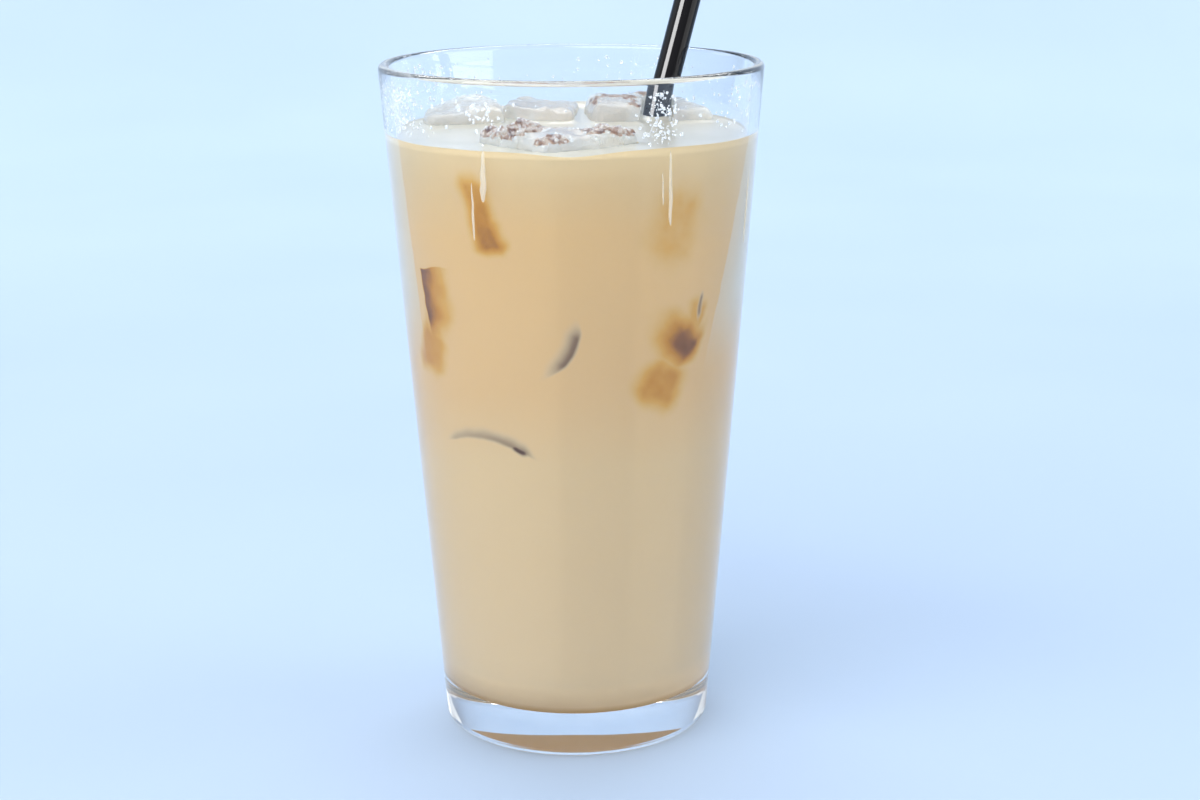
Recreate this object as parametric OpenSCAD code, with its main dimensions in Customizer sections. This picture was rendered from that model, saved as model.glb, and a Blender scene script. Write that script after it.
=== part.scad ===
// Iced latte in a straight-sided pint glass, with floating ice and a black straw.
// Millimetres. The origin is the middle of the glass's flat foot, and +Z is up.

/* [Glass] */
// Height of the glass from its foot to the top of the lip
glass_h = 150; // [130:1:175]
// Outer diameter of the side wall carried up to the lip's height
rim_d = 84; // [76:1:100]
// Outer diameter of the side wall carried down to the foot's height
foot_d = 60; // [52:1:72]
// Thickness of the side wall
wall = 2.3; // [1.8:0.1:3.2]
// Thickness of the clear glass under the drink
floor_t = 9; // [6:0.5:13]
// Inner radius where the wall meets the floor
floor_r = 8; // [5:0.5:11]
// Rounding of the outer bottom edge
heel_r = 2; // [1:0.25:3]
// Diameter of the shallow hollow in the underside
hollow_d = 44; // [30:1:46]
// Height of that hollow at the middle
hollow_h = 0.6; // [0.4:0.1:2]

/* [Drink] */
// Height of the drink's surface above the foot
drink_h = 134.5; // [110:0.5:136]
// Clearance between the drink and the glass, the ice and the straw
fit = 0.2; // [0.1:0.05:0.3]

/* [Straw] */
// Outer diameter of the straw
straw_d = 6; // [4.5:0.1:8]
// Wall thickness of the straw
straw_wall = 0.3; // [0.2:0.05:0.6]
// Length of the straw
straw_len = 196; // [180:1:240]
// Direction in which the straw leans, counted from +X towards +Y
straw_turn = 49.4; // [30:0.2:65]
// How far up the floor's rounded corner the straw's foot stands, 0 at the floor
foot_climb = 50; // [40:1:60]

/* [Ice] */
// Rounding of the half-melted edges of the ice
ice_r = 3.2; // [2:0.1:4]
// Space that is kept between two pieces of ice, and between ice and glass
ice_gap = 0.6; // [0.4:0.1:1.5]
// Size of the piece of ice at the left
left_size = [20, 19, 22]; // [14:1:26]
// Height of its top above the drink
left_rise = 5; // [2:0.5:8]
// Size of the piece of ice at the back
back_size = [19, 20, 22]; // [14:1:26]
// Height of its top above the drink
back_rise = 3; // [2:0.5:8]
// Size of the large flat piece of ice at the right
right_size = [30, 18, 23]; // [14:1:34]
// Height of its top above the drink
right_rise = 3.8; // [2:0.5:8]
// Size of the piece of ice at the front
front_size = [27, 26, 22]; // [14:1:30]
// Height of its top above the drink
front_rise = 5; // [2:0.5:8]

/* [Hidden] */
$fn = 96;

// The side wall is a cone: its slope and its radii at a height z
slope = (rim_d - foot_d) / 2 / glass_h;
tilt = atan(slope);
function outer_r(z) = foot_d / 2 + z * slope;
function inner_r(z) = outer_r(z) - wall / cos(tilt);

// Middle of a circle of radius r that touches the height z from above and,
// from inside, the wall's cone set in by the distance d
function corner(r, z, d) = [outer_r(z + r) - (d + r) / cos(tilt), z + r];
// Points of an arc of n steps from angle a to angle b
function arc(c, r, a, b, n) =
    [for (i = [0:n]) c + r * [cos(a + (b - a) * i / n), sin(a + (b - a) * i / n)]];

lip_r = wall / 2;
lip = [outer_r(glass_h - lip_r) - lip_r / cos(tilt), glass_h - lip_r];

// The straw leans in a vertical plane through the glass's axis. Its foot stands
// on the rounded corner of the floor, and its side rests on the lip opposite.
// All points are [distance along the lean, height].
bend = corner(floor_r, floor_t, wall);
foot_reach = floor_r - fit;
foot_edge = [-bend[0] - foot_reach * sin(foot_climb), bend[1] - foot_reach * cos(foot_climb)];
function straw_foot(a) = foot_edge + straw_d / 2 * [cos(a), -sin(a)];
function straw_rest(a) = lip + (lip_r + straw_d / 2 + fit) * [-cos(a), sin(a)];
function run(a) = straw_rest(a) - straw_foot(a);
function lean_from(a, n) = n == 0 ? a : lean_from(atan2(run(a)[0], run(a)[1]), n - 1);
lean = lean_from(20, 6);

// Each piece of ice: size, rise of its top, place of its middle as a direction and
// a share of the drink's radius, turn about X, Y and Z, and the sector it keeps to
ICE = [
    [left_size, left_rise, [142, 0.84], [3, -3, 14], [128, 206]],
    [back_size, back_rise, [106, 0.68], [-3, 3, -10], [86, 128]],
    [right_size, right_rise, [52, 0.75], [2, 2, 7], [-24, 86]],
    [front_size, front_rise, [262, 0.50], [3, -3, 38], [206, 336]],
];

// How far the slot that the straw has melted reaches in front of its axis
slot_reach = 2 * straw_d;

// Outline of what fills the glass, set in from the glass by d, up to the height top
module fill_outline(d, top) {
    bottom = arc(corner(floor_r - d, floor_t + d, wall + d), floor_r - d, -90, -tilt, 10);
    polygon(concat([[0, floor_t + d]], bottom,
        [[outer_r(top) - (wall + d) / cos(tilt), top], [0, top]]));
}

// Half section of the glass: hollow foot, heel, lip and the rounded floor inside
module glass_outline() {
    dome_r = (pow(hollow_d / 2, 2) + pow(hollow_h, 2)) / 2 / hollow_h;
    dome = arc([0, hollow_h - dome_r], dome_r, 90, acos(hollow_d / 2 / dome_r), 6);
    heel = arc(corner(heel_r, 0, 0), heel_r, -90, -tilt, 8);
    edge = arc(lip, lip_r, -tilt, 180 - tilt, 12);
    inside = arc(bend, floor_r, -tilt, -90, 10);
    polygon(concat(dome, heel, edge, inside, [[0, floor_t]]));
}

module glass() {
    color([0.82, 0.92, 0.98, 0.35])
        rotate_extrude()
            glass_outline();
}

// Places its children on the straw's axis: z runs up the straw from its foot
module along_straw() {
    foot = straw_foot(lean);
    rotate([0, 0, straw_turn])
        translate([foot[0], 0, foot[1]])
            rotate([0, lean, 0])
                children();
}

module straw() {
    color([0.03, 0.03, 0.03])
        along_straw()
            difference() {
                cylinder(d = straw_d, h = straw_len);
                translate([0, 0, -1]) cylinder(d = straw_d - 2 * straw_wall, h = straw_len + 2);
            }
}

// Room that the straw takes up in the drink and in the ice, open at the floor
module straw_room() {
    along_straw()
        translate([0, 0, -straw_d])
            cylinder(d = straw_d + 2 * fit, h = straw_len);
}

// Slot from the straw towards the front, no further than reach, its sides set in
// by d: the straw has melted its way into the ice from there
module straw_slot(reach, d) {
    half = straw_d / 2 + fit - d;
    along_straw()
        rotate([0, 0, -90 - straw_turn])
            translate([0, -half, 0])
                cube([reach, 2 * half, straw_len]);
}

// Block with rounded edges, its sides drawn in a little towards the bottom
module block(size, grow) {
    draw_in = 0.9;
    half = size / 2 - [ice_r, ice_r, ice_r];
    hull()
        for (x = [-1, 1], y = [-1, 1], z = [-1, 1])
            translate([x * half[0], y * half[1], z * half[2]] * (z > 0 ? 1 : draw_in))
                sphere(ice_r + grow, $fn = 16);
}

// Upright sector from angle a to angle b, its sides set in by d
module sector(a, b, d) {
    reach = rim_d;
    half = (b - a) / 2;
    rotate([0, 0, a + half])
        translate([d / sin(half), 0, 0])
            linear_extrude(2 * glass_h)
                polygon([[0, 0], reach * [cos(half), -sin(half)], [2 * reach, 0],
                    reach * [cos(half), sin(half)]]);
}

// One piece of ice, grown on all sides by the amount grow
module ice_body(piece, grow) {
    size = piece[0];
    place = piece[2][1] * inner_r(drink_h);
    intersection() {
        translate([place * cos(piece[2][0]), place * sin(piece[2][0]),
            drink_h + piece[1] - size[2] / 2])
            rotate(piece[3])
                block(size, grow);
        rotate_extrude() fill_outline(ice_gap - grow, glass_h);
        sector(piece[4][0], piece[4][1], ice_gap / 2 - grow);
    }
}

module ice(piece) {
    color([0.85, 0.9, 0.93, 0.6])
        difference() {
            ice_body(piece, 0);
            straw_room();
            straw_slot(slot_reach, 0);
        }
}

module latte() {
    color([0.82, 0.71, 0.55])
        difference() {
            rotate_extrude() fill_outline(fit, drink_h);
            straw_room();
            for (piece = ICE)
                difference() {
                    ice_body(piece, fit);
                    straw_slot(slot_reach, 2 * fit);
                }
        }
}

glass();
latte();
straw();
ice(ICE[0]);  // ice_left
ice(ICE[1]);  // ice_back
ice(ICE[2]);  // ice_right
ice(ICE[3]);  // ice_front
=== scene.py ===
# %% [markdown]
# # An iced latte in a tall tapered glass
# The drink is milky coffee with half-melted ice in a clear tumbler, and a black straw leans
# on the lip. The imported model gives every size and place; this lesson adds the looks.
# Most of what the eye reads here is light bent by glass and ice, so each surface gets a
# smooth mesh first and a finish second.

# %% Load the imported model
import math

import bmesh
import bpy
import numpy as np
from mathutils import Matrix, Vector, noise
from mathutils.kdtree import KDTree


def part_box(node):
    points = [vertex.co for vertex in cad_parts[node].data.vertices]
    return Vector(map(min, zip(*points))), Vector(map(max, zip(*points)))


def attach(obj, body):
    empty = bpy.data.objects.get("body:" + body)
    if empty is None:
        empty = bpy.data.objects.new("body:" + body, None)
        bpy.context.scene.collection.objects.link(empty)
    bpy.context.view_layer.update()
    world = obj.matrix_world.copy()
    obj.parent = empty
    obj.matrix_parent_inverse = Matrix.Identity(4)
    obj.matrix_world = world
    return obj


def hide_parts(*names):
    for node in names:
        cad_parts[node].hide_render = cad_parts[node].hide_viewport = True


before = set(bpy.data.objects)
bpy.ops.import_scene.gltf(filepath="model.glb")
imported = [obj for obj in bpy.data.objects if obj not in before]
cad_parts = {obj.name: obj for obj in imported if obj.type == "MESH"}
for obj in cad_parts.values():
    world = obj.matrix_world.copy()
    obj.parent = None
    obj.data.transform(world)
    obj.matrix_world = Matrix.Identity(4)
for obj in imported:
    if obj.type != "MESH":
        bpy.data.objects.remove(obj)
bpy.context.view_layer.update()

# %% [markdown]
# ## Sizes
# The glass is turned: one outline swept round an axis. Its wall is a cone, so two radii and
# a height give the wall anywhere. The outline's sizes are those of the imported model. The
# heights of the glass and the drink are read from the boxes of its nodes, and the widest
# radius is printed beside the rim's.

# %% Sizes of the glass and the drink, in metres
MM = 0.001
GLASS_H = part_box("glass")[1].z
DRINK_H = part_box("latte")[1].z
RIM_R = 41.99 * MM
FOOT_R = 30 * MM
WALL = 2.3 * MM
FLOOR_T = 9 * MM
FLOOR_ROUND = 8 * MM
HEEL_ROUND = 2 * MM
HOLLOW_R = 22 * MM
HOLLOW_H = 0.6 * MM
STRAW_R = 3 * MM
STRAW_WALL = 0.3 * MM
SLOPE = (RIM_R - FOOT_R) / GLASS_H
TILT = math.atan(SLOPE)


def outer_r(z):
    """Radius of the glass's outside at height z."""
    return FOOT_R + z * SLOPE


def inner_r(z):
    """Radius of the glass's inside at height z."""
    return outer_r(z) - WALL / math.cos(TILT)


widest = max(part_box("glass")[1].x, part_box("glass")[1].y)
print("glass height", round(GLASS_H, 4), "widest radius", round(widest, 4), "of", RIM_R)
print("drink's surface at", round(DRINK_H, 4), "inner radius there", round(inner_r(DRINK_H), 4))

# %% [markdown]
# ## Helpers for node trees
# Materials and Geometry Nodes are both trees of nodes. One helper adds a node, sets its own
# properties and fills its inputs, each with a value or with another node's output.

# %% Node helper
def add(tree, kind, ins=None, **settings):
    """Adds a node. ins gives its inputs by name or number, as values or as output sockets."""
    node = tree.nodes.new(kind)
    for key, value in settings.items():
        setattr(node, key, value)
    for key, value in (ins or {}).items():
        if isinstance(value, bpy.types.NodeSocket):
            tree.links.new(value, node.inputs[key])
        else:
            node.inputs[key].default_value = value
    return node


def calc(tree, operation, *values, kind="ShaderNodeMath"):
    """A Math node's output, its inputs given in order."""
    return add(tree, kind, dict(enumerate(values)), operation=operation).outputs[0]


def ranged(tree, value, low, high, to_low=0.0, to_high=1.0, **settings):
    """The value carried over from the span low to high to the span to_low to to_high."""
    ins = {"Value": value, "From Min": low, "From Max": high, "To Min": to_low, "To Max": to_high}
    return add(tree, "ShaderNodeMapRange", ins, **settings).outputs[0]


def blended(tree, factor, first, second, **settings):
    """The first colour, turned into the second by factor."""
    return add(tree, "ShaderNodeMix", {"Factor": factor, 6: first, 7: second},
               data_type="RGBA", **settings).outputs[2]


def object_place(tree):
    """Object coordinates, which stay with the piece."""
    return add(tree, "ShaderNodeTexCoord").outputs["Object"]


def new_tree(name, inputs, outputs, kind="GeometryNodeTree"):
    """A node group with named sockets. Inputs are (name, socket type, default)."""
    tree = bpy.data.node_groups.new(name, kind)
    for socket_name, socket_type, default in inputs:
        socket = tree.interface.new_socket(socket_name, in_out="INPUT", socket_type=socket_type)
        if default is not None:
            socket.default_value = default
    for socket_name, socket_type in outputs:
        tree.interface.new_socket(socket_name, in_out="OUTPUT", socket_type=socket_type)
    return tree, add(tree, "NodeGroupInput").outputs, add(tree, "NodeGroupOutput")


def end_tree(tree, shape, given, out):
    """Shades the shape smooth, makes it real and gives it the finish that the tree was given."""
    shape = add(tree, "GeometryNodeSetShadeSmooth", {0: shape}).outputs[0]
    shape = add(tree, "GeometryNodeRealizeInstances", {0: shape}).outputs[0]
    shape = add(tree, "GeometryNodeSetMaterial", {"Geometry": shape, "Material": given["Finish"]})
    tree.links.new(shape.outputs[0], out.inputs[0])
    return tree


# %% Turn a Geometry Nodes result into a plain mesh
def plain_result(base, tree, name, **values):
    """Runs the tree on base and keeps the result as a plain mesh object called name."""
    modifier = base.modifiers.new("tree", "NODES")
    modifier.node_group = tree
    for item in tree.interface.items_tree:
        key = item.name.lower().replace(" ", "_")
        if item.in_out == "INPUT" and key in values:
            modifier[item.identifier] = values[key]
    result = applied(base, name)
    bpy.data.objects.remove(base)
    finishes = [one for one in result.data.materials if one]
    result.data.materials.clear()
    for one in finishes:
        result.data.materials.append(one)
    for face in result.data.polygons:
        face.material_index = 0
    return result


def applied(base, name):
    """A copy of base with its modifiers worked in, and none left on it."""
    if base.name not in bpy.context.scene.collection.all_objects:
        bpy.context.scene.collection.objects.link(base)
    depsgraph = bpy.context.evaluated_depsgraph_get()
    mesh = bpy.data.meshes.new_from_object(base.evaluated_get(depsgraph))
    mesh.name = name
    return new_object(name, mesh)


def new_object(name, data):
    """Links an object with that data into the scene."""
    made = bpy.data.objects.new(name, data)
    bpy.context.scene.collection.objects.link(made)
    return made


def rows_of(mesh, kind="co"):
    """The vertices' places, or their normals, as the rows of an array."""
    return np.array([getattr(v, kind) for v in mesh.vertices])


def move_to(mesh, points):
    """Moves the vertices to the places in the rows of points."""
    mesh.vertices.foreach_set("co", points.ravel())


def modified(base, *modifiers):
    """Adds modifiers, each given as (type, settings), and returns base."""
    for kind, settings in modifiers:
        modifier = base.modifiers.new(kind.lower(), kind)
        for key, value in settings.items():
            setattr(modifier, key, value)
    return base


# %% [markdown]
# ## The camera, the floor and the light
# The drink stands on a pale seamless sweep. A long lens looks a little down on it, so that
# the rim is a thin ellipse and the foot a rounder one. The light is almost shadowless: a
# bright pale surround does most of the work, a large soft box at the left shapes the drink,
# and a dimmer one at the right keeps the far side open. On the black straw that large box
# would be a broad grey smear, so it is kept off the straw, and a narrower, brighter one
# lights nothing else and gives the straw its crisp streak.

# %% Values of the stage
PAPER_DEEP = (0.46, 0.585, 0.745)
PAPER_PALE = (0.49, 0.615, 0.775)
# The near tone is painted shade: it darkens the paper near the drink and towards the front.
PAPER_NEAR_SHADE = (0.84, 0.84, 0.87, 1)
PAPER_FAR_Y, PAPER_NEAR_Y = 1.1, 0.2
ROOM_LIGHT = 1.2
SHEET_LIGHT = 7.0
UNLIT_CEILING = (0.2, 0.2, 0.21, 1)
UNLIT_FRONT, UNLIT_FROM, UNLIT_UP_TO = (-0.12, -0.3), (0.2, 0.33), (0.9, 0.75)
print("room light", ROOM_LIGHT, "light on the sheet", SHEET_LIGHT)

# %% Camera
LENS_MM = 66.48
CAMERA_AT = Vector((0, -484.6, 197.7)) * MM
LOOK_RIGHT, LOOK_DOWN, ROLL = (math.radians(a) for a in (0.687, 14.33, -0.337))
camera = new_object("camera", bpy.data.cameras.new("camera"))
camera.data.lens = LENS_MM
camera.data.sensor_width = 36
camera.data.clip_start = 0.01
aim = Matrix.Rotation(-LOOK_RIGHT, 3, "Z") @ Matrix.Rotation(math.pi / 2 - LOOK_DOWN, 3, "X")
aim = aim @ Matrix.Rotation(ROLL, 3, "Z")
camera.matrix_world = Matrix.Translation(CAMERA_AT) @ aim.to_4x4()
bpy.context.scene.camera = camera
bpy.context.scene.view_settings.view_transform = "Standard"
print("camera", round(CAMERA_AT.length, 3), "m from the foot, lens", LENS_MM, "mm")


# %% Materials start from a named Principled shader
def finish(name, **sockets):
    """A material whose Principled shader has these plain values."""
    material = bpy.data.materials.new(name)
    material.use_nodes = True
    shader = material.node_tree.nodes["Principled BSDF"]
    for key, value in sockets.items():
        shader.inputs[key.replace("_", " ").title().replace("Ior", "IOR")].default_value = value
    return material, material.node_tree, shader


def ramp(tree, factor, stops):
    """A colour ramp through stops, each (place, colour)."""
    node = add(tree, "ShaderNodeValToRGB", {"Fac": factor})
    elements = node.color_ramp.elements
    while len(elements) < len(stops):
        elements.new(1)
    for element, (place, colour) in zip(elements, stops):
        element.position = place
        element.color = (*colour, 1)
    return node.outputs["Color"]


def noise_at(tree, vector, scale, detail=3.0, roughness=0.5):
    """Value of a noise pattern, scale in waves per metre."""
    pattern = add(tree, "ShaderNodeTexNoise",
                  {"Vector": vector, "Scale": scale, "Detail": detail, "Roughness": roughness})
    return pattern.outputs["Fac"]


def bump(tree, shader, height, distance, strength=1.0):
    """Feeds the shader's normal from a height between 0 and 1, distance in metres."""
    node = add(tree, "ShaderNodeBump",
               {"Height": height, "Distance": distance, "Strength": strength})
    tree.links.new(node.outputs["Normal"], shader.inputs["Normal"])


# %% Floor: one sheet of paper that curves up behind
SWEEP_START = 0.9
SWEEP_ROUND = 0.7
SWEEP_TOP = 1.5
SWEEP_STEPS = 16
SHEET_REACH = 6
FLOOR_DROP = 0.05 * MM


def sweep_profile():
    """Points (y, z) from the front of the floor to the top of the sheet behind."""
    points = [(-SHEET_REACH, 0), (SWEEP_START, 0)]
    for i in range(1, SWEEP_STEPS + 1):
        a = math.pi / 2 * i / SWEEP_STEPS
        points.append((SWEEP_START + SWEEP_ROUND * math.sin(a), SWEEP_ROUND * (1 - math.cos(a))))
    return points + [(SWEEP_START + SWEEP_ROUND, SWEEP_TOP)]


floor_mesh = bpy.data.meshes.new("floor")
profile = sweep_profile()
corners = [(x, y, z - FLOOR_DROP) for y, z in profile for x in (-SHEET_REACH, SHEET_REACH)]
strips = [(2 * i, 2 * i + 1, 2 * i + 3, 2 * i + 2) for i in range(len(profile) - 1)]
floor_mesh.from_pydata(corners, [], strips)
for face in floor_mesh.polygons:
    face.use_smooth = True
floor = new_object("floor", floor_mesh)
paper, tree, shader = finish("pale blue paper", roughness=0.9, specular_ior_level=0.15)
place = object_place(tree)
tone = noise_at(tree, place, 4, 2)
sheet = ramp(tree, tone, [(0.3, PAPER_DEEP), (0.7, PAPER_PALE)])
far = add(tree, "ShaderNodeSeparateXYZ", {0: place}).outputs["Y"]
# Painted shade: the paper is multiplied darker from the sweep's foot to the front, around the
# drink.
near = ranged(tree, far, PAPER_FAR_Y, PAPER_NEAR_Y)
painted_shade_paper = blended(tree, near, sheet, PAPER_NEAR_SHADE, blend_type="MULTIPLY")
tree.links.new(painted_shade_paper, shader.inputs["Base Color"])
bump(tree, shader, noise_at(tree, place, 900, 4), 0.00005, 0.3)
floor_mesh.materials.append(paper)
print("sheet of paper", len(strips), "strips")

# %% Surround: bright behind, dim behind the camera, unlit high up in front
world = bpy.data.worlds.new("room")
world.use_nodes = True
bpy.context.scene.world = world
tree = world.node_tree
surround = tree.nodes["Background"]
way = add(tree, "ShaderNodeTexCoord").outputs["Generated"]
parts = add(tree, "ShaderNodeSeparateXYZ", {0: way}).outputs
depth = ranged(tree, parts["Y"], -1.0, 1.0)
room = ramp(tree, depth, [(0.0, (0.40, 0.41, 0.42)), (0.3, (0.55, 0.57, 0.59)),
                          (0.5, (0.88, 0.92, 0.96)), (1.0, (0.80, 0.90, 0.97))])
in_front = ranged(tree, parts["Y"], *UNLIT_FRONT)
raised = ranged(tree, parts["Z"], *UNLIT_FROM)
overhead = ranged(tree, parts["Z"], *UNLIT_UP_TO)
unlit = calc(tree, "MULTIPLY", in_front, calc(tree, "MULTIPLY", raised, overhead))
tree.links.new(blended(tree, unlit, room, UNLIT_CEILING), surround.inputs["Color"])
surround.inputs["Strength"].default_value = ROOM_LIGHT


# %% Soft boxes
def soft_box(name, azimuth, elevation, distance, size, radiance, target=(0, 0, 0.09)):
    """An area light that looks at target. Azimuth 0 is behind the camera."""
    light = new_object(name, bpy.data.lights.new(name, "AREA"))
    light.data.shape = "RECTANGLE"
    light.data.size, light.data.size_y = size
    light.data.energy = radiance * math.pi * size[0] * size[1]
    a, e = math.radians(azimuth), math.radians(elevation)
    way = Vector((math.sin(a) * math.cos(e), -math.cos(a) * math.cos(e), math.sin(e)))
    light.location = Vector(target) + way * distance
    light.rotation_euler = way.to_track_quat("Z", "Y").to_euler()
    light.visible_camera = False
    return light


def light_links(light, name, piece, state):
    """Lights the piece only, or all but the piece, as a flag beside the lamp would."""
    group = bpy.data.collections.new(name)
    group.objects.link(piece)
    group.collection_objects[0].light_linking.link_state = state
    light.light_linking.receiver_collection = group


key = soft_box("key at the left", -38, 42, 2.6, (2.9, 1.9), 3.75)
streak = soft_box("strip for the straw", -42, 40, 2.4, (1.35, 1.6), 50.0)
soft_box("fill at the right", 78, 16, 2.2, (2.0, 1.4), 2.3)
soft_box("light on the sheet", 180, 75, 1.7, (3.0, 0.5), SHEET_LIGHT, (0, 1.2, 0.2))
print("lights", len(bpy.data.lights))

# %% [markdown]
# ## A lathe made of nodes
# The glass and the straw are both turned shapes: an outline, swept round an axis. A lathe
# tree does that from any outline. The outline is a curve of a few straight runs, and each
# of its points carries the radius of its own rounding, so the arcs at the lip, heel and
# floor come from a Fillet Curve node instead of from long lists of points. A grid of
# vertices is then wrapped round the axis, one row along the outline for every step of the
# turn, and its seam and poles are welded.

# %% The lathe tree
def lathe_tree():
    tree, given, out = new_tree(
        "lathe",
        [("Geometry", "NodeSocketGeometry", None), ("Turn Steps", "NodeSocketInt", 128),
         ("Arc Steps", "NodeSocketInt", 10), ("Weld", "NodeSocketFloat", 0.000001),
         ("Finish", "NodeSocketMaterial", None)],
        [("Geometry", "NodeSocketGeometry")])
    rounding = add(tree, "GeometryNodeInputRadius").outputs[0]
    outline = add(tree, "GeometryNodeFilletCurve",
                  {"Curve": given["Geometry"], "Radius": rounding, "Count": given["Arc Steps"],
                   "Limit Radius": False}, mode="POLY").outputs[0]
    size = add(tree, "GeometryNodeAttributeDomainSize", {0: outline}, component="CURVE")
    rows = size.outputs["Point Count"]
    columns = calc(tree, "ADD", given["Turn Steps"], 1)
    sheet = add(tree, "GeometryNodeMeshGrid",
                {"Vertices X": columns, "Vertices Y": rows}).outputs["Mesh"]
    index = add(tree, "GeometryNodeInputIndex").outputs[0]
    along = calc(tree, "MODULO", index, rows)
    step = calc(tree, "FLOOR", calc(tree, "DIVIDE", index, rows))
    angle = calc(tree, "MULTIPLY", calc(tree, "DIVIDE", step, given["Turn Steps"]), math.tau)
    point = add(tree, "GeometryNodeSampleIndex",
                {"Geometry": outline, "Index": along,
                 "Value": add(tree, "GeometryNodeInputPosition").outputs[0]},
                data_type="FLOAT_VECTOR", domain="POINT").outputs[0]
    parts = add(tree, "ShaderNodeSeparateXYZ", {0: point}).outputs
    turned = add(tree, "ShaderNodeCombineXYZ", {
        "X": calc(tree, "MULTIPLY", parts["X"], calc(tree, "COSINE", angle)),
        "Y": calc(tree, "MULTIPLY", parts["X"], calc(tree, "SINE", angle)),
        "Z": parts["Z"]}).outputs[0]
    shape = add(tree, "GeometryNodeSetPosition", {"Geometry": sheet, "Position": turned})
    shape = add(tree, "GeometryNodeMergeByDistance",
                {"Geometry": shape.outputs[0], "Distance": given["Weld"]})
    return end_tree(tree, shape.outputs[0], given, out)


LATHE = lathe_tree()


# %% Turn a piece from its outline
def turned(name, outline, material, turn_steps=192, arc_steps=12):
    """A turned piece. The outline's points are (radius, height, rounding), in metres."""
    curve = bpy.data.curves.new(name + " outline", "CURVE")
    curve.dimensions = "3D"
    spline = curve.splines.new("POLY")
    spline.points.add(len(outline) - 1)
    for point, (radius, height, rounding) in zip(spline.points, outline):
        point.co = (radius, 0, height, 1)
        point.radius = rounding
    made = plain_result(new_object(name + " outline", curve), LATHE, name,
                        turn_steps=turn_steps, arc_steps=arc_steps, finish=material)
    print(name, "faces", len(made.data.polygons))
    return made


def straight(start, end, steps):
    """Points between two outline points, which keep long faces from bending the shading."""
    (r0, z0), (r1, z1) = start, end
    return [(r0 + (r1 - r0) * i / steps, z0 + (z1 - z0) * i / steps, 0) for i in range(1, steps)]


# %% [markdown]
# ## Shared effects
# Handled glass and plastic are never evenly shiny, and both ice and glass have a slow
# ripple in their faces. These two patterns are groups with named inputs, built once and
# placed in each material with its own values.

# %% Handling marks and slow ripple
def handling_group():
    tree, given, out = new_tree(
        "handling marks",
        [("Vector", "NodeSocketVector", None), ("Scale", "NodeSocketFloat", 60.0),
         ("Clean", "NodeSocketFloat", 0.0), ("Worn", "NodeSocketFloat", 0.1)],
        [("Roughness", "NodeSocketFloat")], "ShaderNodeTree")
    cloud = add(tree, "ShaderNodeTexNoise",
                {"Vector": given["Vector"], "Scale": given["Scale"], "Detail": 5.0})
    span = ranged(tree, cloud.outputs["Fac"], 0.45, 0.75, given["Clean"], given["Worn"])
    tree.links.new(span, out.inputs["Roughness"])
    return tree


def ripple_group():
    tree, given, out = new_tree(
        "slow ripple",
        [("Vector", "NodeSocketVector", None), ("Scale", "NodeSocketFloat", 80.0),
         ("Fine Share", "NodeSocketFloat", 0.2)],
        [("Height", "NodeSocketFloat")], "ShaderNodeTree")
    broad = add(tree, "ShaderNodeTexNoise",
                {"Vector": given["Vector"], "Scale": given["Scale"], "Detail": 1.0})
    fine_scale = calc(tree, "MULTIPLY", given["Scale"], 9.0)
    fine = add(tree, "ShaderNodeTexNoise",
               {"Vector": given["Vector"], "Scale": fine_scale, "Detail": 3.0})
    part = calc(tree, "MULTIPLY", fine.outputs["Fac"], given["Fine Share"])
    tree.links.new(calc(tree, "ADD", broad.outputs["Fac"], part), out.inputs["Height"])
    return tree


HANDLING, RIPPLE = handling_group(), ripple_group()


def placed(tree, group, output, **values):
    """Places a shader group on Object coordinates and returns one of its outputs."""
    node = add(tree, "ShaderNodeGroup", node_tree=group)
    for key, value in values.items():
        node.inputs[key.replace("_", " ").title()].default_value = value
    if "Vector" in node.inputs:
        tree.links.new(object_place(tree), node.inputs["Vector"])
    return node.outputs[output]


# %% [markdown]
# ## The glass
# Clear soda-lime glass bends light by an index of 1.52. Under the drink it is a thick
# lens: the eye looks in at the side, the light bounces off the hollow underside, and the
# band of brown near the foot is the drink's own underside seen in that mirror; that
# underside's colour is helped by painted shade and a painted glow. The mirror comes from
# the shape alone, so the floor, the heel and the hollow are all modelled. Light that
# falls through the glass as a shadow is let through nearly whole, because tracing every
# bent ray would only add noise.

# %% Clear glass finish
MIST = 0.18


def see_through_finish(name, tint, ior, roughness, shadow_tint):
    """A clear finish that also lets shadow rays pass."""
    material, tree, shader = finish(name, base_color=(*tint, 1), ior=ior, roughness=roughness,
                                    transmission_weight=1.0)
    passing = add(tree, "ShaderNodeBsdfTransparent", {"Color": (*shadow_tint, 1)})
    is_shadow = add(tree, "ShaderNodeLightPath").outputs["Is Shadow Ray"]
    mix = add(tree, "ShaderNodeMixShader",
              {0: is_shadow, 1: shader.outputs[0], 2: passing.outputs[0]})
    tree.links.new(mix.outputs[0], tree.nodes["Material Output"].inputs["Surface"])
    return material, tree, shader


clear_glass, tree, shader = see_through_finish(
    "clear glass", (0.996, 1.0, 1.0), 1.52, 0.0, (0.95, 0.975, 0.985))
shader.inputs["Sheen Weight"].default_value = MIST
shader.inputs["Sheen Roughness"].default_value = 0.35
tree.links.new(placed(tree, HANDLING, "Roughness", scale=45, clean=0.0, worn=0.035),
               shader.inputs["Roughness"])
bump(tree, shader, placed(tree, RIPPLE, "Height", scale=55, fine_share=0.0), 0.00006)

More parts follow.
